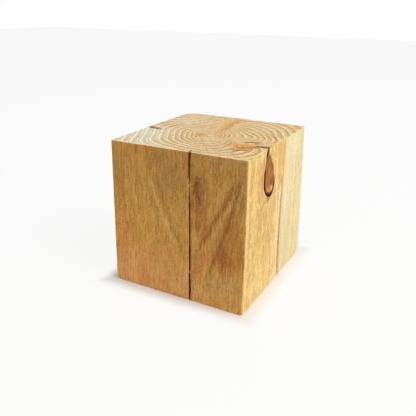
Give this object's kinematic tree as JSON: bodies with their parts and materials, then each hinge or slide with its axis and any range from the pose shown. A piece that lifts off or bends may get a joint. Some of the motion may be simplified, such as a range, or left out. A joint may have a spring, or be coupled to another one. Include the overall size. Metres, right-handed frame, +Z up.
{
  "type": "solid wooden cube",
  "caption": "Solid, nearly cubic block of squared timber with upright grain, drying checks in its sides, a bark-ringed knot and crisp sawn ends.",
  "frame": {"origin": "middle of the block's foot, under the centre of its bounding box", "axes": "+Z up along the grain, +Y from the front face to the back, +X to the right, towards the face with the knot"},
  "size_m": [0.0994, 0.1068, 0.101],
  "materials": {
    "timber": "sawn and lightly sanded, raw"
  },
  "bodies": {
    "root": {"wooden_cube": "timber"}
  },
  "joints": []
}
